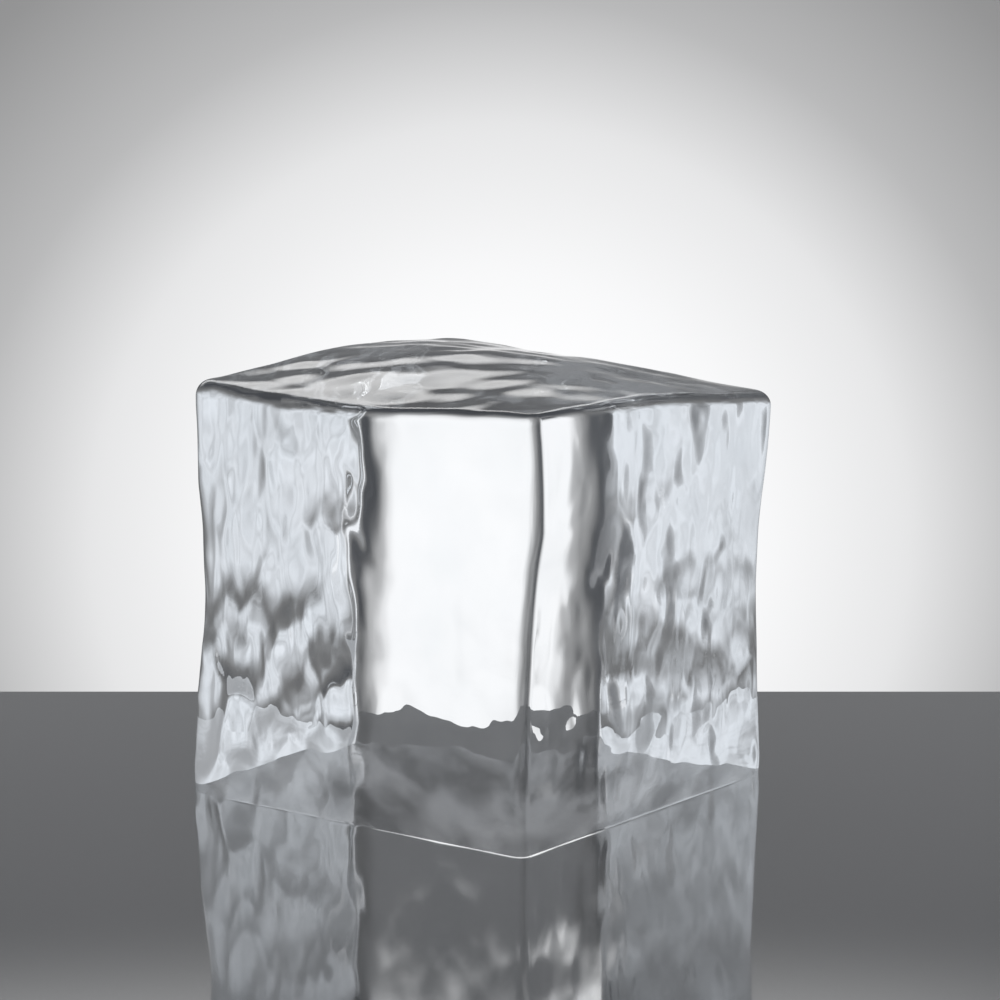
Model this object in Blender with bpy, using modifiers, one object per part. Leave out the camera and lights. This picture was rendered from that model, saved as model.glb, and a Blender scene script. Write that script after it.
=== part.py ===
"""Ice block: one solid block of clear ice, frozen in a square mould and a little melted.

Run it with blender --background --python part.py, or from Blender's text editor.
Metres, +Z up. The origin is the middle of the flat base, and the block stands on it.
"""

import math

import bmesh
import bpy
from mathutils import Vector, noise

# Driving dimensions. The mould was a plain square box.
WIDTH = 0.1028  # along X
DEPTH = 0.1035  # along Y
HEIGHT = 0.0995  # base to top at the +X -Y corner

# Rounded upright edges: (side along X, side along Y, radius, segments).
UPRIGHT_EDGES = (
    (1, -1, 0.0030, 3),
    (-1, -1, 0.0060, 4),
    (1, 1, 0.0060, 4),
    (-1, 1, 0.0092, 5),
)

# Rounded rims round the top and the base.
TOP_RADIUS_BACK = 0.0045  # along the -X and +Y sides
TOP_RADIUS_FRONT = 0.0028  # along the +X and -Y sides
BASE_RADIUS = 0.0010
RIM_SEGMENTS = 3

# How melting has bent the uprights.
WAIST_DEPTH = 0.0020  # how far the upright edges are drawn in, along X and Y, at half height
WAIST_POWER = 3  # the higher, the nearer the upright edges the drawing in stays
LEAN = 0.0019  # how far the top has shifted sideways
LEAN_HEADING = math.radians(37)  # the way it has shifted, turned from +X towards +Y
BELLY = 0.0022  # how far the +X -Y edge swells, the same way as the lean
BELLY_HEIGHT = 0.8  # share of the height at which it swells most
BELLY_SPREAD = 0.22  # share of the height over which the swelling fades

# The top swelled as it froze. Rises are measured from the +X -Y corner.
RISE_LEFT = 0.0016  # at the -X -Y corner
RISE_RIGHT = -0.0037  # at the +X +Y corner
RISE_BACK = 0.0060  # at the -X +Y corner
CREST = 0.0026  # extra rise half way along the -X side
SAG = 0.0022  # dip half way along the -Y side
SWELL = 0.0014  # extra rise half way along the +X side
DOME = 0.0044  # extra rise in the middle

# Melt relief. Waves roll gently; dimples are shallow bowls with soft ridges between them.
WAVE_SIZE = (0.030, 0.034)  # across and up a side
WAVE_DEPTH = 0.0004
DIMPLE_SIZE = (0.015, 0.019)  # across and up a side
DIMPLE_DEPTH = 0.0010
RIDGE_SOFTNESS = 0.25
TOP_WAVE_SIZE = (0.030, 0.024)
TOP_WAVE_DEPTH = 0.0012
BASE_FADE = 0.006  # height over which the relief grows from nothing at the base

# Depth of the relief against its plain depth, where it differs.
LEFT_BACK_RELIEF = 1.25  # on the -X side
RIGHT_BACK_RELIEF = 0.48  # on the +Y side
FOOT_RELIEF = 1.8  # near the base, on the -X side
HEAD_RELIEF = 0.6  # near the top
RIM_RELIEF = 0.4  # on the top, at its rims

GRID_STEP = 0.0037  # size of the squares that the sides and top are divided into


def clear_scene():
    """Remove every object that the file opened with."""
    for old in list(bpy.data.objects):
        bpy.data.objects.remove(old, do_unlink=True)


def moulded_block():
    """Return a bmesh of the mould's plain box, with its four upright edges rounded."""
    bm = bmesh.new()
    bmesh.ops.create_cube(bm, size=1.0)
    bmesh.ops.scale(bm, vec=(WIDTH, DEPTH, HEIGHT), verts=bm.verts[:])
    bmesh.ops.translate(bm, vec=(0.0, 0.0, HEIGHT / 2), verts=bm.verts[:])
    for side_x, side_y, radius, segments in UPRIGHT_EDGES:
        corner = Vector((side_x * WIDTH / 2, side_y * DEPTH / 2))
        upright = [
            edge
            for edge in bm.edges
            if all((vert.co.xy - corner).length < radius / 2 for vert in edge.verts)
        ]
        bmesh.ops.bevel(
            bm, geom=upright, offset=radius, segments=segments, profile=0.5, affect="EDGES"
        )
    return bm


def weight_rims(bm):
    """Weight the top and base rims for rounding, easing from the front width to the back one."""
    weight = bm.edges.layers.float.new("bevel_weight_edge")
    for edge in bm.edges:
        middle = (edge.verts[0].co + edge.verts[1].co) / 2
        if middle.z < HEIGHT * 0.01:
            edge[weight] = BASE_RADIUS / TOP_RADIUS_BACK
        elif middle.z > HEIGHT * 0.99:
            to_back = (middle.y / DEPTH - middle.x / WIDTH) / 0.1
            share = min(1.0, max(0.0, 0.5 + to_back))
            width = TOP_RADIUS_FRONT + (TOP_RADIUS_BACK - TOP_RADIUS_FRONT) * share
            edge[weight] = width / TOP_RADIUS_BACK


def round_rims(bm):
    """Return a new bmesh of the block with its weighted rims rounded by a Bevel modifier."""
    mesh = bpy.data.meshes.new("plain block")
    bm.to_mesh(mesh)
    bm.free()
    plain = bpy.data.objects.new("plain block", mesh)
    bpy.context.scene.collection.objects.link(plain)
    bevel = plain.modifiers.new("rims", "BEVEL")
    bevel.limit_method = "WEIGHT"
    bevel.width = TOP_RADIUS_BACK
    bevel.segments = RIM_SEGMENTS
    finished = plain.evaluated_get(bpy.context.evaluated_depsgraph_get())
    rounded = bmesh.new()
    rounded.from_mesh(finished.data)
    bpy.data.objects.remove(plain, do_unlink=True)
    bpy.data.meshes.remove(mesh)
    return rounded


def cut_across(bm, direction, start, end):
    """Cut the block by evenly spaced planes square to a direction, from start to end."""
    count = round((end - start) / GRID_STEP)
    for place in range(count + 1):
        point = direction * (start + (end - start) * place / count)
        everything = bm.verts[:] + bm.edges[:] + bm.faces[:]
        bmesh.ops.bisect_plane(bm, geom=everything, dist=1e-6, plane_co=point, plane_no=direction)


def divide_into_squares(bm):
    """Divide the sides and the top into squares that can follow the melted form."""
    narrow = UPRIGHT_EDGES[1][2]
    wide = UPRIGHT_EDGES[3][2]
    cut_across(bm, Vector((1, 0, 0)), wide - WIDTH / 2, WIDTH / 2 - narrow)
    cut_across(bm, Vector((0, 1, 0)), narrow - DEPTH / 2, DEPTH / 2 - wide)
    cut_across(bm, Vector((0, 0, 1)), BASE_RADIUS + GRID_STEP, HEIGHT - TOP_RADIUS_BACK)
    bm.normal_update()
    base = [face for face in bm.faces if face.normal.z < -0.999]
    bmesh.ops.dissolve_faces(bm, faces=base, use_verts=False)


def waist_pull(share_x, share_y, level):
    """Return how far a point is drawn in, for its shares of the half widths and its level."""
    nearness = abs(share_x * share_y) ** WAIST_POWER
    arch = 1 - (2 * level - 1) ** 2
    return WAIST_DEPTH * nearness * arch**2


def sideways_shift(to_right, to_front, level):
    """Return the shift from the block's lean and from the swelling of its front edge."""
    spread = math.exp(-(((level - BELLY_HEIGHT) / BELLY_SPREAD) ** 2))
    distance = LEAN * level + BELLY * (to_right * to_front) ** 2 * spread
    return Vector((math.cos(LEAN_HEADING), math.sin(LEAN_HEADING), 0.0)) * distance


def top_rise(to_right, to_front):
    """Return the height of the top above its front corner, for shares of 0 to 1 across it."""
    to_left = 1 - to_right
    to_back = 1 - to_front
    corners = RISE_LEFT * to_left * to_front
    corners += RISE_RIGHT * to_right * to_back
    corners += RISE_BACK * to_left * to_back
    along = 4 * to_back * to_front
    across = 4 * to_left * to_right
    sides = CREST * along**2 * to_left + SWELL * along * to_right - SAG * across * to_front
    return corners + sides + DOME * along * across


def melt_form(bm):
    """Bend the plain block to its melted form: drawn-in uprights, a lean and a humped top."""
    for vert in bm.verts:
        share_x = vert.co.x / (WIDTH / 2)
        share_y = vert.co.y / (DEPTH / 2)
        level = vert.co.z / HEIGHT
        to_right = (1 + share_x) / 2
        to_front = (1 - share_y) / 2
        pull = waist_pull(share_x, share_y, level)
        vert.co.x -= math.copysign(pull, share_x)
        vert.co.y -= math.copysign(pull, share_y)
        vert.co += sideways_shift(to_right, to_front, level)
        vert.co.z += level**2 * top_rise(to_right, to_front)


def stretched(point, size):
    """Return a point measured in steps of a relief's size."""
    return Vector((point.x / size[0], point.y / size[0], point.z / size[1]))


def dimple(point):
    """Return the height of the dimpled surface: bowls round scattered centres, softly joined."""
    nearest, second = noise.voronoi(stretched(point, DIMPLE_SIZE))[0][:2]
    gap = abs(nearest**2 - second**2)
    blend = max(RIDGE_SOFTNESS - gap, 0.0) / RIDGE_SOFTNESS
    bowl = min(nearest**2, second**2) - RIDGE_SOFTNESS / 4 * blend**2
    return DIMPLE_DEPTH * (bowl - RIDGE_SOFTNESS)


def side_strength(normal, level):
    """Return the strength of the relief on a side that faces a way, at a level of 0 to 1."""
    left_back = max(0.0, -normal.x)
    right_back = max(0.0, normal.y)
    strength = 1 + (LEFT_BACK_RELIEF - 1) * left_back + (RIGHT_BACK_RELIEF - 1) * right_back
    strength *= 1 + (FOOT_RELIEF - 1) * (1 - level) ** 2 * left_back
    return strength * (1 + (HEAD_RELIEF - 1) * level**2)


def top_strength(point):
    """Return the strength of the relief on the top, which is calmer towards its rims."""
    share_x = min(1.0, abs(point.x) / (WIDTH / 2))
    share_y = min(1.0, abs(point.y) / (DEPTH / 2))
    inward = math.sqrt((1 - share_x**2) * (1 - share_y**2))
    return RIM_RELIEF + (1 - RIM_RELIEF) * inward


def melt_relief(bm):
    """Raise the waves and dimples of melting on the sides and the top. The base stays flat."""
    bm.normal_update()
    moves = {}
    for vert in bm.verts:
        upward = max(0.0, vert.normal.z)
        level = min(1.0, max(0.0, vert.co.z / HEIGHT))
        side = WAVE_DEPTH * noise.noise(stretched(vert.co, WAVE_SIZE)) + dimple(vert.co)
        side *= side_strength(vert.normal, level) * min(1.0, vert.co.z / BASE_FADE)
        top = TOP_WAVE_DEPTH * noise.noise(stretched(vert.co, TOP_WAVE_SIZE))
        top *= top_strength(vert.co)
        moves[vert] = vert.normal * (side * (1 - upward) + top * upward)
    for vert, move in moves.items():
        vert.co += move


def centre_over_origin(bm):
    """Move the block sideways until the middle of its box is over the origin."""
    xs = [vert.co.x for vert in bm.verts]
    ys = [vert.co.y for vert in bm.verts]
    middle = Vector((min(xs) + max(xs), min(ys) + max(ys), 0.0)) / 2
    bmesh.ops.translate(bm, vec=-middle, verts=bm.verts[:])


def ice_material():
    """Return clear ice, with a faint blue cast."""
    material = bpy.data.materials.new("ice")
    material.use_nodes = True
    shader = material.node_tree.nodes["Principled BSDF"]
    shader.inputs["Base Color"].default_value = (0.86, 0.92, 0.96, 1.0)
    shader.inputs["Roughness"].default_value = 0.03
    shader.inputs["Metallic"].default_value = 0.0
    shader.inputs["IOR"].default_value = 1.31
    shader.inputs["Transmission Weight"].default_value = 1.0
    return material


def build_ice_block():
    """Mould the block, melt it and return its object."""
    bm = moulded_block()
    weight_rims(bm)
    bm = round_rims(bm)
    divide_into_squares(bm)
    melt_form(bm)
    melt_relief(bm)
    centre_over_origin(bm)
    mesh = bpy.data.meshes.new("ice_block")
    bm.to_mesh(mesh)
    bm.free()
    mesh.shade_smooth()
    mesh.materials.append(ice_material())
    return bpy.data.objects.new("ice_block", mesh)


def main():
    clear_scene()
    parts = bpy.data.collections.new("ice block")
    bpy.context.scene.collection.children.link(parts)
    parts.objects.link(build_ice_block())


main()
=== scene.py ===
import math

import bpy
import numpy as np
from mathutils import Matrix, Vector, noise


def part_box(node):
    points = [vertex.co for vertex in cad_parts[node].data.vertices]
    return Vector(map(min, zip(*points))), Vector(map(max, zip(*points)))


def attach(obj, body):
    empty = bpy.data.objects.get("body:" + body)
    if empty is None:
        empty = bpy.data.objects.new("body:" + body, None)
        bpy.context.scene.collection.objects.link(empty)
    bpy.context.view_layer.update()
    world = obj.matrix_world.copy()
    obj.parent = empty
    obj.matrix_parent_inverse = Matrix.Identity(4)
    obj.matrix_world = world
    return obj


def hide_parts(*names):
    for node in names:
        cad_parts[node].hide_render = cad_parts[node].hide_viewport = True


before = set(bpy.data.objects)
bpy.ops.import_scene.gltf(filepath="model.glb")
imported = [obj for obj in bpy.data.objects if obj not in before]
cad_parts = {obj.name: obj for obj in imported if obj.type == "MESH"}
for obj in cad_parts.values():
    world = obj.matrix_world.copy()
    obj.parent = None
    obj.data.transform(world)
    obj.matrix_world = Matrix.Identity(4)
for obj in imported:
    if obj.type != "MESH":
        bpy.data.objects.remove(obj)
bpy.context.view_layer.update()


# ---------------------------------------------------------------------------------------
# The block: one piece of clear ice, frozen slowly in a plain square mould and turned out.
# Melting has rounded its edges, drawn in its uprights and dimpled its sides, and its top
# swelled as it froze. It is a finely cut cube whose points are moved to that form.

MOULD = Vector((0.1028, 0.1035, 0.0995))  # inside width, depth and height of the mould
FIRST_CUTS = 15  # across each side of the cube
SECOND_CUTS = 7  # across each square that the first cuts leave
EDGE_CROWDING = 0.22  # how much closer together the cuts lie near the edges

# Rounding of the upright edges along X and Y, and radii of the rims.
FRONT_UPRIGHT = (0.0030, 0.0030)  # at +X -Y
LEFT_UPRIGHT = (0.0060, 0.0060)  # at -X -Y
RIGHT_UPRIGHT = (0.0060, 0.0060)  # at +X +Y
BACK_UPRIGHT = (0.0090, 0.0095)  # at -X +Y
FRONT_RIM = 0.0028
BACK_RIM = 0.0045
FRONT_BASE_RIM = 0.0007
BACK_BASE_RIM = 0.0
RIM_EASE = 0.5  # share of the width over which the rims ease from the front radius to the back one

# The melted form.
WAIST_DEPTH = 0.0020  # how far the uprights are drawn in at half height
WAIST_POWER = 3  # the higher, the nearer the uprights the drawing in stays
LEAN = 0.0019  # how far the top has shifted sideways
LEAN_HEADING = math.radians(37)  # the way it has shifted, turned from +X towards +Y
BELLY = 0.0022  # how far the +X -Y upright swells, the same way as the lean
BELLY_HEIGHT = 0.8  # share of the height at which it swells most
BELLY_SPREAD = 0.22  # share of the height over which the swelling fades

# Rises of the top above the +X -Y corner.
RISE_LEFT = 0.0016  # at the -X -Y corner
RISE_RIGHT = -0.0037  # at the +X +Y corner
RISE_BACK = 0.0060  # at the -X +Y corner
CREST = 0.0026  # extra rise half way along the -X side
DOME = 0.0044  # extra rise in the middle
SAG = 0.0022  # dip half way along the -Y side
SWELL = 0.0014  # extra rise half way along the +X side

# The melt relief: depth, size across and up, and softness of the ridges between bowls.
WAVES = (0.0004, (0.030, 0.034))
BOWLS = (0.0010, (0.015, 0.019), 0.25)
SMALL_WAVES = (0.0001, (0.010, 0.012))
SMALL_BOWLS = (0.00036, (0.0070, 0.0120), 0.42)
TOP_WAVES = (0.0012, (0.030, 0.024))
SMALL_TOP_WAVES = (0.0005, (0.010, 0.010))
LAYER_STEP = 10.0  # how many sizes up each layer of relief is taken from
BASE_FADE = 0.006  # height over which the relief grows from nothing at the base
LEFT_BACK_RELIEF = 1.25  # depth of the relief on the -X side, against its plain depth
RIGHT_BACK_RELIEF = 0.48  # and on the +Y side
FOOT_RELIEF = 1.8  # depth of the relief near the base, on the -X side
HEAD_RELIEF = 0.6  # and near the top
RIM_RELIEF = 0.4  # and on the top, at its rims
CREASE_ANGLE = math.radians(50)  # edges sharper than this stay sharp
FOOT_LEVEL = 0.0001  # points lower than this are on the base


def mould_cube():
    """Add the mould's cube at its place, cut into a fine grid all round."""
    bpy.ops.object.select_all(action="DESELECT")
    bpy.ops.mesh.primitive_cube_add(size=1.0, location=(0, 0, MOULD.z / 2), scale=MOULD)
    cube = bpy.context.object
    bpy.ops.object.transform_apply(location=True, rotation=False, scale=True)
    bpy.ops.object.mode_set(mode="EDIT")
    bpy.ops.mesh.select_all(action="SELECT")
    bpy.ops.mesh.subdivide(number_cuts=FIRST_CUTS)
    bpy.ops.mesh.subdivide(number_cuts=SECOND_CUTS)
    bpy.ops.object.mode_set(mode="OBJECT")
    return cube


def points_of(mesh):
    """Return the mesh's points as an array, one row each."""
    flat = np.empty(len(mesh.vertices) * 3, np.float32)
    mesh.vertices.foreach_get("co", flat)
    return flat.reshape(-1, 3).astype(float)


def normals_of(mesh):
    """Return the mesh's normals at its points, one row each."""
    flat = np.empty(len(mesh.vertices) * 3, np.float32)
    mesh.vertices.foreach_get("normal", flat)
    return flat.reshape(-1, 3).astype(float)


def set_points(mesh, points):
    mesh.vertices.foreach_set("co", points.astype(np.float32).ravel())
    mesh.update()


def crowd_cuts(points):
    """Move the cuts closer together near the edges. Return the points from the cube's middle."""
    half = np.array(MOULD) / 2
    centred = points - np.array((0, 0, half[2]))
    share = centred / half
    share = share * (1 + EDGE_CROWDING) - EDGE_CROWDING * share**3
    return share * half


def length_of(rows):
    """Return the length of each row as a column, never quite nothing, to divide by."""
    return np.maximum(np.hypot(rows[:, 0], rows[:, 1]), 1e-12)[:, None]


def round_uprights(points):
    """Round the uprights. Return the points, their depths in the block and the ways out of it."""
    half = np.array(MOULD)[:2] / 2
    side = np.sign(points[:, :2])
    size = np.abs(points[:, :2])
    radii = np.array([[BACK_UPRIGHT, RIGHT_UPRIGHT], [LEFT_UPRIGHT, FRONT_UPRIGHT]])
    radius = radii[(side[:, 1] < 0).astype(int), (side[:, 0] > 0).astype(int)]
    centre = half - radius
    past = np.maximum(size - centre, 0) / radius
    in_corner = (past > 0).all(axis=1)[:, None]
    shell = past.max(axis=1)[:, None]
    way = past / length_of(past)
    rounded = points.copy()
    rounded[:, :2] = np.where(in_corner, side * (centre + way * shell * radius), points[:, :2])
    under_side = half - size
    depth = np.where(
        in_corner, (1 - shell) * length_of(way * radius), under_side.min(axis=1, keepdims=True)
    )
    curved_out = way / radius
    flat_out = under_side <= under_side.min(axis=1, keepdims=True)
    outward = side * np.where(in_corner, curved_out / length_of(curved_out), flat_out)
    return rounded, depth[:, 0], outward


def rim_radii(points):
    """Return the rims' radii at the top and the base, easing from the front to the back."""
    to_back = np.clip(0.5 + (points[:, 1] / MOULD.y - points[:, 0] / MOULD.x) / RIM_EASE, 0, 1)
    top_rim = FRONT_RIM + (BACK_RIM - FRONT_RIM) * to_back
    base_rim = FRONT_BASE_RIM + (BACK_BASE_RIM - FRONT_BASE_RIM) * np.clip(2 * to_back, 0, 1)
    return top_rim, base_rim


def round_edges(points):
    """Round the uprights, then the rims, of points measured from the cube's middle."""
    half_height = MOULD.z / 2
    rounded, depth, outward = round_uprights(points)
    for up, radius in zip((1, -1), rim_radii(points)):
        past_level = np.maximum(rounded[:, 2] * up - half_height + radius, 0)
        past_side = np.maximum(radius - depth, 0)
        in_rim = (past_level > 0) & (past_side > 0)
        shell = np.maximum(past_level, past_side)
        draw = shell / length_of(np.stack((past_level, past_side), axis=1))[:, 0]
        level = up * (half_height - radius + past_level * draw)
        rounded[:, 2] = np.where(in_rim, level, rounded[:, 2])
        rounded[:, :2] -= outward * np.where(in_rim, past_side * (1 - draw), 0)[:, None]
    return rounded + np.array((0, 0, half_height))


def melt_form(points):
    """Bend the rounded block to its melted form: drawn-in uprights, lean and humped top."""
    share_x = points[:, 0] / (MOULD.x / 2)
    share_y = points[:, 1] / (MOULD.y / 2)
    level = points[:, 2] / MOULD.z
    right = (1 + share_x) / 2
    front = (1 - share_y) / 2
    left = 1 - right
    back = 1 - front
    arch = 1 - (2 * level - 1) ** 2
    pull = WAIST_DEPTH * np.abs(share_x * share_y) ** WAIST_POWER * arch**2
    belly = BELLY * (right * front) ** 2 * np.exp(-(((level - BELLY_HEIGHT) / BELLY_SPREAD) ** 2))
    shift = LEAN * level + belly
    rise = RISE_LEFT * left * front + RISE_RIGHT * right * back + RISE_BACK * left * back
    rise += CREST * (4 * back * front) ** 2 * left
    rise += DOME * (4 * back * front) * (4 * left * right)
    rise += SWELL * (4 * back * front) * right - SAG * (4 * left * right) * front
    melted = points.copy()
    melted[:, 0] += math.cos(LEAN_HEADING) * shift - np.sign(share_x) * pull
    melted[:, 1] += math.sin(LEAN_HEADING) * shift - np.sign(share_y) * pull
    melted[:, 2] += level**2 * rise
    return melted


def stretched(points, size, layer):
    """Return the points measured in steps of a relief's size, each layer in its own place."""
    steps = points / np.array((size[0], size[0], size[1]))
    steps[:, 2] += LAYER_STEP * layer
    return [Vector(step) for step in steps]


def rolling(points, waves, layer=0):
    """Return the height of gentle rolling waves at each point."""
    depth, size = waves
    return depth * np.array([noise.noise(step) for step in stretched(points, size, layer)])


def bowled(points, bowls, layer=0):
    """Return the height of shallow bowls round scattered centres, softly joined."""
    depth, size, softness = bowls
    near = np.array([noise.voronoi(step)[0][:2] for step in stretched(points, size, layer)]) ** 2
    blend = np.maximum(softness - np.abs(near[:, 0] - near[:, 1]), 0) / softness
    return depth * (near.min(axis=1) - softness / 4 * blend**2 - softness)


def melt_relief(points, normals):
    """Raise the waves and bowls on the sides and the top. The base stays flat."""
    up = np.clip(normals[:, 2], 0, 1)
    left_back = np.clip(-normals[:, 0], 0, 1)
    right_back = np.clip(normals[:, 1], 0, 1)
    depth = 1 + (LEFT_BACK_RELIEF - 1) * left_back + (RIGHT_BACK_RELIEF - 1) * right_back
    height = np.clip(points[:, 2] / MOULD.z, 0, 1)
    depth *= 1 + (FOOT_RELIEF - 1) * (1 - height) ** 2 * left_back
    depth *= 1 + (HEAD_RELIEF - 1) * height**2
    sides = rolling(points, WAVES) + bowled(points, BOWLS)
    sides += rolling(points, SMALL_WAVES, 1) + bowled(points, SMALL_BOWLS, 1)
    sides *= depth * np.clip(points[:, 2] / BASE_FADE, 0, 1)
    top = rolling(points, TOP_WAVES) + rolling(points, SMALL_TOP_WAVES, 1)
    share = np.clip(np.abs(points[:, :2]) / (np.array(MOULD)[:2] / 2), 0, 1)
    inward = np.sqrt((1 - share[:, 0] ** 2) * (1 - share[:, 1] ** 2))
    top *= RIM_RELIEF + (1 - RIM_RELIEF) * inward
    return points + normals * (sides * (1 - up) + top * up)[:, None]


def fit_to_box(points, low, high):
    """Ease the finished points into the space that the block takes up."""
    own_low = points.min(axis=0)
    own_high = points.max(axis=0)
    return (points - own_low) * (np.array(high) - np.array(low)) / (own_high - own_low) + np.array(low)


# The ice and its wet skin. A pattern is the scale and detail of its noise.
ICE_IOR = 1.31
CLOUDS = (55.0, 3.0)
CLOUDED = (0.945, 0.955, 0.96, 1)
CLEAR = (1, 1, 1, 1)
FILM = (38.0, 2.0)
FILM_ROUGHNESS = 0.03
RIPPLES = (80.0, 1.0)
RIPPLE_HEIGHT = 0.00013
DEPTH_TINT = (0.86, 0.93, 1.0, 1)
DEPTH_DENSITY = 1.2


def clear_ice():
    """Clear ice, faintly blue where it is thick, with a wet skin that ripples and clouds a little."""
    material = bpy.data.materials.new("clear_ice")
    material.use_nodes = True
    nodes = material.node_tree.nodes
    links = material.node_tree.links
    shader = nodes["Principled BSDF"]
    shader.inputs["IOR"].default_value = ICE_IOR
    shader.inputs["Transmission Weight"].default_value = 1.0
    place = nodes.new("ShaderNodeTexCoord")

    def speckle(pattern):
        texture = nodes.new("ShaderNodeTexNoise")
        texture.inputs["Scale"].default_value = pattern[0]
        texture.inputs["Detail"].default_value = pattern[1]
        links.new(place.outputs["Object"], texture.inputs["Vector"])
        return texture.outputs["Fac"]

    clouds = nodes.new("ShaderNodeValToRGB")
    links.new(speckle(CLOUDS), clouds.inputs[0])
    clouds.color_ramp.elements[0].position = 0.35
    clouds.color_ramp.elements[0].color = CLOUDED
    clouds.color_ramp.elements[1].position = 0.60
    clouds.color_ramp.elements[1].color = CLEAR
    links.new(clouds.outputs[0], shader.inputs["Base Color"])

    film = nodes.new("ShaderNodeMapRange")
    links.new(speckle(FILM), film.inputs["Value"])
    film.inputs["From Min"].default_value = 0.45
    film.inputs["From Max"].default_value = 0.70
    film.inputs["To Min"].default_value = 0.0
    film.inputs["To Max"].default_value = FILM_ROUGHNESS
    links.new(film.outputs[0], shader.inputs["Roughness"])

    ripple = nodes.new("ShaderNodeBump")
    ripple.inputs["Strength"].default_value = 1.0
    ripple.inputs["Distance"].default_value = RIPPLE_HEIGHT
    links.new(speckle(RIPPLES), ripple.inputs["Height"])
    links.new(ripple.outputs["Normal"], shader.inputs["Normal"])

    depth = nodes.new("ShaderNodeVolumeAbsorption")
    depth.inputs["Color"].default_value = DEPTH_TINT
    depth.inputs["Density"].default_value = DEPTH_DENSITY
    links.new(depth.outputs["Volume"], nodes["Material Output"].inputs["Volume"])
    return material


block = mould_cube()
block.name = "melted_ice_block"
block_points = melt_form(round_edges(crowd_cuts(points_of(block.data))))
set_points(block.data, block_points)
block_points = melt_relief(block_points, normals_of(block.data))
block_points = fit_to_box(block_points, *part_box("ice_block"))
set_points(block.data, block_points)
foot = block_points[block_points[:, 2] < FOOT_LEVEL]
foot_low = Vector(foot.min(axis=0))
foot_high = Vector(foot.max(axis=0))
bpy.ops.object.shade_smooth_by_angle(angle=CREASE_ANGLE)
block.data.materials.append(clear_ice())
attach(block, "root")
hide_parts("ice_block")


# ---------------------------------------------------------------------------------------
# The floor: a plain slab with a polished grey top, and a film of water on it under the block,
# so that nothing shows between them, with mottled light painted on it there. Its far side is close
# behind the block.

VIEW_AZIMUTH = math.radians(37.06)  # the way the camera looks, from +Y towards -X
FLOOR_BEHIND = 0.106  # how far the slab reaches behind the block's middle
FLOOR_BEFORE = 0.45  # and before it
FLOOR_HALF_WIDTH = 0.17
FLOOR_ROUGHNESS = 0.06
FLOOR_IOR = 1.6
POLISH_ROUGHNESS = 0.03
FILM_LEVEL = 0.0004  # height of the film's surface above the block's base
FILM_CORNER = 0.006  # radius of the film's corners
PAINTED_LIGHT_PATCHES = (60.0, 14.0)  # patches of the painted light under the block to a metre, across the view and along it
# Painted light under the block: the dim and bright ends of its patches.
PAINTED_LIGHT_DIM = (0.10, 0.102, 0.108, 1)
PAINTED_LIGHT_BRIGHT = (0.80, 0.805, 0.815, 1)
FLOOR_GREY = (0.07, 0.072, 0.077, 1)

ahead = Vector((-math.sin(VIEW_AZIMUTH), math.cos(VIEW_AZIMUTH), 0))
aside = Vector((math.cos(VIEW_AZIMUTH), math.sin(VIEW_AZIMUTH), 0))

polished = bpy.data.materials.new("polished_floor")
polished.use_nodes = True
polished_nodes = polished.node_tree.nodes
polished_links = polished.node_tree.links
polished_shader = polished_nodes["Principled BSDF"]
polished_shader.inputs["Roughness"].default_value = FLOOR_ROUGHNESS
polished_shader.inputs["IOR"].default_value = FLOOR_IOR
polished_shader.inputs["Coat Roughness"].default_value = POLISH_ROUGHNESS
on_floor = polished_nodes.new("ShaderNodeTexCoord").outputs["Object"]


def floor_node(kind, operation, first, second, result=0):
    """Add a maths node to the floor's finish and return what it puts out."""
    node = polished_nodes.new(kind)
    node.operation = operation
    for socket, value in zip(node.inputs, (first, second)):
        if isinstance(value, bpy.types.NodeSocket):
            polished_links.new(value, socket)
        elif value is not None:
            socket.default_value = value
    return node.outputs[result]


def floor_number(operation, first, second=None):
    return floor_node("ShaderNodeMath", operation, first, second)


def floor_vector(operation, first, second=None):
    result = "Value" if operation in ("DOT_PRODUCT", "LENGTH") else "Vector"
    return floor_node("ShaderNodeVectorMath", operation, first, second, result)


def past(direction, least, most):
    """Return a mask of the floor that is short of least or beyond most along a direction."""
    off = floor_number("SUBTRACT", floor_vector("DOT_PRODUCT", on_floor, direction), (least + most) / 2)
    return floor_number("GREATER_THAN", floor_number("ABSOLUTE", off), (most - least) / 2)


def outside(low, high, corner):
    """Return a mask of the floor outside a rectangle with rounded corners."""
    straight = (high - low) / 2 - Vector((corner, corner, 0))
    off = floor_vector("ABSOLUTE", floor_vector("SUBTRACT", on_floor, (low + high) / 2))
    off = floor_vector("MAXIMUM", floor_vector("SUBTRACT", off, straight), Vector((0, 0, 0)))
    flat = floor_vector("MULTIPLY", off, Vector((1, 1, 0)))
    return floor_number("GREATER_THAN", floor_vector("LENGTH", flat), corner)


# Painted mottled light under the block, where the film lies, and the plain grey round it.
off_film_and_painted_light = outside(foot_low, foot_high, FILM_CORNER)
stretch = polished_nodes.new("ShaderNodeCombineXYZ")
for socket, direction in zip(stretch.inputs, (aside * PAINTED_LIGHT_PATCHES[0], ahead * PAINTED_LIGHT_PATCHES[1])):
    polished_links.new(floor_vector("DOT_PRODUCT", on_floor, direction), socket)
painted_light_noise = polished_nodes.new("ShaderNodeTexNoise")
painted_light_noise.inputs["Scale"].default_value = 1.0
painted_light_noise.inputs["Detail"].default_value = 2.0
polished_links.new(stretch.outputs[0], painted_light_noise.inputs["Vector"])
painted_light_under_block = polished_nodes.new("ShaderNodeValToRGB")
polished_links.new(painted_light_noise.outputs["Fac"], painted_light_under_block.inputs[0])
painted_light_under_block.color_ramp.elements[0].position = 0.40
painted_light_under_block.color_ramp.elements[0].color = PAINTED_LIGHT_DIM
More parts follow.
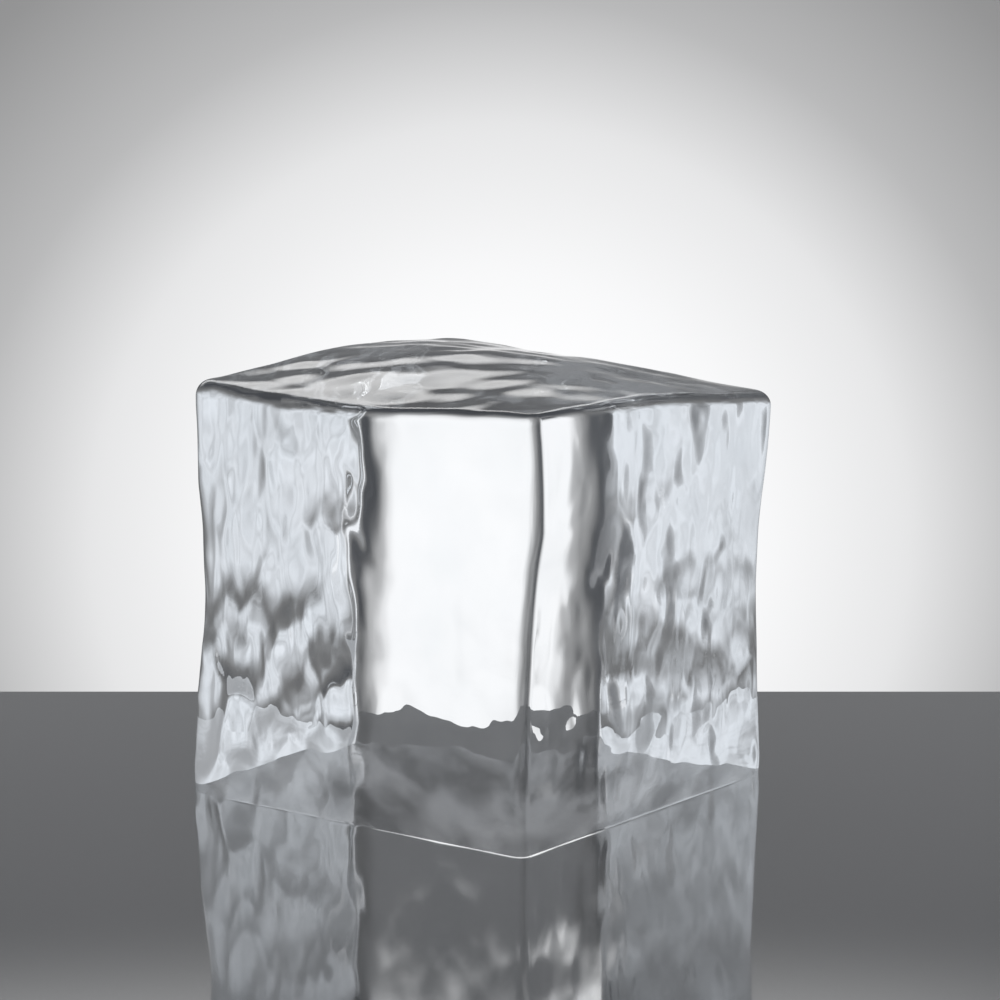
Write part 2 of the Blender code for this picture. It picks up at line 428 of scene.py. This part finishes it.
painted_light_under_block.color_ramp.elements[1].position = 0.62
painted_light_under_block.color_ramp.elements[1].color = PAINTED_LIGHT_BRIGHT
# The painted light under the block, set into the floor's plain grey.
floor_grey_and_painted_light = polished_nodes.new("ShaderNodeMix")
floor_grey_and_painted_light.data_type = "RGBA"
polished_links.new(off_film_and_painted_light, floor_grey_and_painted_light.inputs[0])
polished_links.new(painted_light_under_block.outputs[0], floor_grey_and_painted_light.inputs[6])
floor_grey_and_painted_light.inputs[7].default_value = FLOOR_GREY
polished_links.new(floor_grey_and_painted_light.outputs[2], polished_shader.inputs["Base Color"])
polished_links.new(off_film_and_painted_light, polished_shader.inputs["Coat Weight"])

# Light that has crossed the ice finds the floor only under the block and close behind it.
# Light that has turned back inside the ice finds it only where it comes down steeply.
# Each part of the floor that it finds is a direction, and the least and most along it.
ALONG_X = Vector((1, 0, 0))
ALONG_Y = Vector((0, 1, 0))
UP_TO_FAR_LINE = (Vector((0.196, 0.981, 0)), -1.0, 0.0673)
UNDER_BLOCK = (ALONG_X, -0.0605, 0.0535)
WIDER_BEHIND = (ALONG_X, -0.080, 0.0535)
BEHIND_BLOCK = (ALONG_Y, 0.050, 1.0)

off_near = floor_number("MAXIMUM", past(*UNDER_BLOCK), past(*UP_TO_FAR_LINE))
off_strip = floor_number("MAXIMUM", past(*WIDER_BEHIND), past(*UP_TO_FAR_LINE))
off_strip = floor_number("MAXIMUM", off_strip, past(*BEHIND_BLOCK))
ray = polished_nodes.new("ShaderNodeLightPath")
slant = polished_nodes.new("ShaderNodeLayerWeight")
slant.inputs["Blend"].default_value = 0.5
hidden = floor_number("MINIMUM", off_near, off_strip)
hidden = floor_number("MAXIMUM", hidden, ray.outputs["Glossy Depth"])
hidden = floor_number("MINIMUM", hidden, ray.outputs["Transmission Depth"])
hidden = floor_number("MINIMUM", hidden, floor_number("GREATER_THAN", slant.outputs["Facing"], 0.5))
either = polished_nodes.new("ShaderNodeMixShader")
polished_links.new(hidden, either.inputs[0])
polished_links.new(polished_shader.outputs[0], either.inputs[1])
polished_links.new(polished_nodes.new("ShaderNodeBsdfTransparent").outputs[0], either.inputs[2])
polished_links.new(either.outputs[0], polished_nodes["Material Output"].inputs["Surface"])

bpy.ops.object.select_all(action="DESELECT")
bpy.ops.mesh.primitive_plane_add(
    size=1.0,
    location=ahead * (FLOOR_BEHIND - FLOOR_BEFORE) / 2 + Vector((0, 0, FILM_LEVEL)),
    rotation=(0, 0, VIEW_AZIMUTH),
)
floor = bpy.context.object
floor.name = "floor"
floor.scale = (2 * FLOOR_HALF_WIDTH, FLOOR_BEHIND + FLOOR_BEFORE, 1)
bpy.ops.object.transform_apply(location=True, rotation=True, scale=True)
floor.data.materials.append(polished)


# ---------------------------------------------------------------------------------------
# The studio light: a lit grey backdrop with a soft glow behind the block, a large soft
# box to each side and a strip above the glow, all far away.


def tinted(value):
    """Return a grey of this brightness, the least bit blue."""
    return (value * 0.995, value * 0.998, value * 1.006)


def heading(right, up=0):
    """Return the direction some degrees to the right of the way the camera looks, and up."""
    turned = VIEW_AZIMUTH - math.radians(right)
    flat = math.cos(math.radians(up))
    return Vector((-math.sin(turned) * flat, math.cos(turned) * flat, math.sin(math.radians(up))))


studio = bpy.data.worlds.new("studio")
bpy.context.scene.world = studio
studio.use_nodes = True
studio.cycles.sampling_method = "NONE"  # the light is soft enough to find by chance
studio.node_tree.nodes.clear()


def add(kind, **settings):
    node = studio.node_tree.nodes.new(kind)
    for name, value in settings.items():
        setattr(node, name, value)
    return node


def join(source, target):
    studio.node_tree.links.new(source, target)


def maths(operation, first, second=None, clamp=False):
    node = add("ShaderNodeMath", operation=operation, use_clamp=clamp)
    for socket, value in zip(node.inputs, (first, second)):
        if value is None:
            continue
        if isinstance(value, (int, float)):
            socket.default_value = value
        else:
            join(value, socket)
    return node.outputs[0]


def eased(value, start, end):
    node = add("ShaderNodeMapRange", interpolation_type="SMOOTHSTEP")
    join(value, node.inputs["Value"])
    node.inputs["From Min"].default_value = start
    node.inputs["From Max"].default_value = end
    return node.outputs[0]


def faded(value, start, end):
    return maths("SUBTRACT", 1.0, eased(value, start, end))


def angle_from(vector, direction):
    """Return the angle in degrees between a vector socket and a fixed direction."""
    dot = add("ShaderNodeVectorMath", operation="DOT_PRODUCT")
    join(vector, dot.inputs[0])
    dot.inputs[1].default_value = direction
    return maths("MULTIPLY", maths("ARCCOSINE", dot.outputs["Value"]), 180 / math.pi)


def mixed(share, first, second):
    node = add("ShaderNodeMix", data_type="RGBA")
    join(share, node.inputs[0])
    for socket, value in ((node.inputs[6], first), (node.inputs[7], second)):
        if isinstance(value, tuple):
            socket.default_value = (*value, 1)
        else:
            join(value, socket)
    return node.outputs[2]


def glow(direction, stops):
    """Return the backdrop's colour: bright at the glow's middle, darker with the angle."""
    node = add("ShaderNodeValToRGB")
    widest = stops[-1][0]
    join(maths("DIVIDE", angle_from(sight, direction), widest, True), node.inputs[0])
    elements = node.color_ramp.elements
    while len(elements) < len(stops):
        elements.new(0.5)
    for element, (angle, value) in zip(elements, stops):
        element.position = angle / widest
        element.color = (*tinted(value), 1)
    return node.outputs[0]


place = add("ShaderNodeTexCoord")
unit = add("ShaderNodeVectorMath", operation="NORMALIZE")
join(place.outputs["Generated"], unit.inputs[0])
sight = unit.outputs[0]
parts = add("ShaderNodeSeparateXYZ")
join(sight, parts.inputs[0])
level = maths("MULTIPLY", maths("ARCSINE", parts.outputs["Z"]), 180 / math.pi)
flatten = add("ShaderNodeVectorMath", operation="MULTIPLY")
join(sight, flatten.inputs[0])
flatten.inputs[1].default_value = (1, 1, 0)
flat_unit = add("ShaderNodeVectorMath", operation="NORMALIZE")
join(flatten.outputs[0], flat_unit.inputs[0])
round_about = flat_unit.outputs[0]


def spot(direction, near, far):
    """Return a mask that is 1 within near degrees of a direction and 0 beyond far."""
    return faded(angle_from(sight, direction), near, far)


def sector(direction, near, far):
    """Return the same mask for the heading alone, whatever the level."""
    return faded(angle_from(round_about, direction), near, far)


def between(rise_start, rise_end, fall_start, fall_end):
    """Return a mask of the levels, in degrees, between a rise and a fall."""
    return maths("MULTIPLY", eased(level, rise_start, rise_end), faded(level, fall_start, fall_end))


# The backdrop: brightness by degrees from the glow's middle, then what is laid over it.
GLOW_LEVEL = -8.6
GLOW_STOPS = (
    (0, 1.00),
    (4, 0.99),
    (5.5, 0.95),
    (8.6, 0.80),
    (11.3, 0.49),
    (14.8, 0.30),
    (22, 0.16),
    (60, 0.16),
)
SHADE = (0.06, 0.063, 0.07)
CEILING = (0.04, 0.042, 0.046)
UPPER_SIDES = (0.36, 0.37, 0.385)
RIGHT_GLOW = (0.24, 0.25, 0.265)
LEFT_GLOW = (0.32, 0.33, 0.345)
REAR_GLOW = (0.92, 0.93, 0.95)
LOW_SHADE = (0.05, 0.053, 0.06)
ABOVE_GLOW = (0.26, 0.264, 0.272)

backdrop = glow(heading(0, GLOW_LEVEL), GLOW_STOPS)
backdrop = mixed(spot(heading(-32), 8, 20), backdrop, SHADE)
backdrop = mixed(eased(level, 25, 50), backdrop, CEILING)
sides = eased(angle_from(round_about, heading(0)), 26, 46)
backdrop = mixed(maths("MULTIPLY", sides, eased(level, 0, 16)), backdrop, UPPER_SIDES)
backdrop = mixed(spot(heading(20, -6), 3, 9), backdrop, SHADE)
backdrop = mixed(spot(heading(37), 3, 13), backdrop, RIGHT_GLOW)
backdrop = mixed(spot(heading(-53), 4, 15), backdrop, LEFT_GLOW)
backdrop = mixed(spot(heading(180, GLOW_LEVEL), 8, 50), backdrop, REAR_GLOW)
backdrop = mixed(faded(level, -27, -16), backdrop, LOW_SHADE)
above = maths("MULTIPLY", between(2, 8, 24, 45), sector(heading(0), 8, 30))
backdrop = mixed(above, backdrop, ABOVE_GLOW)

# The soft boxes, each a little uneven as their cloth hangs in folds.
BOX_COLOUR = (0.80, 0.835, 0.88)
FOLD_SCALE = 6.0
FOLD_DETAIL = 2.0
FOLD_DEPTH = 1.2
FOLD_LEAST = 0.25

right_box = maths("MULTIPLY", sector(heading(92), 12, 42), eased(level, -18.3, -8.7))
left_box = maths("MULTIPLY", sector(heading(-112), 18, 70), eased(level, -17, -6))
boxes = maths("MULTIPLY", maths("MAXIMUM", right_box, left_box), faded(level, 9, 24))
folds = add("ShaderNodeTexNoise")
folds.inputs["Scale"].default_value = FOLD_SCALE
folds.inputs["Detail"].default_value = FOLD_DETAIL
join(sight, folds.inputs["Vector"])
uneven = maths("ADD", maths("MULTIPLY", folds.outputs["Fac"], FOLD_DEPTH), FOLD_LEAST)
lit = mixed(maths("MULTIPLY", boxes, uneven), backdrop, BOX_COLOUR)

# The strip above the glow, which the top mirrors.
STRIP_COLOUR = (2.6, 2.6, 2.6)

strip = maths("MULTIPLY", between(16.5, 24.0, 30.0, 38.0), sector(heading(-16), 22, 36))
lit = mixed(strip, lit, STRIP_COLOUR)
light = add("ShaderNodeBackground")
join(lit, light.inputs["Color"])
output = add("ShaderNodeOutputWorld")
join(light.outputs[0], output.inputs["Surface"])


# ---------------------------------------------------------------------------------------
# The camera, a long lens a little above the block's middle.

CAMERA_LEVEL = math.radians(7.90)
CAMERA_DISTANCE = 0.6706
AIM = Vector((-0.0042, 0.0122, 0.0689))
LENS = 96.98

away = Vector(
    (
        math.sin(VIEW_AZIMUTH) * math.cos(CAMERA_LEVEL),
        -math.cos(VIEW_AZIMUTH) * math.cos(CAMERA_LEVEL),
        math.sin(CAMERA_LEVEL),
    )
)
camera_data = bpy.data.cameras.new("camera")
camera_data.sensor_width = 36
camera_data.lens = LENS
camera = bpy.data.objects.new("camera", camera_data)
bpy.context.scene.collection.objects.link(camera)
camera.location = AIM + away * CAMERA_DISTANCE
camera.rotation_mode = "QUATERNION"
camera.rotation_quaternion = (-away).to_track_quat("-Z", "Y")
bpy.context.scene.camera = camera

# Light crosses the ice many times before it leaves.
bpy.context.scene.cycles.denoising_input_passes = "RGB"
bpy.context.scene.cycles.max_bounces = 24
bpy.context.scene.cycles.transmission_bounces = 24
bpy.context.scene.cycles.glossy_bounces = 12
bpy.context.scene.view_settings.view_transform = "Standard"
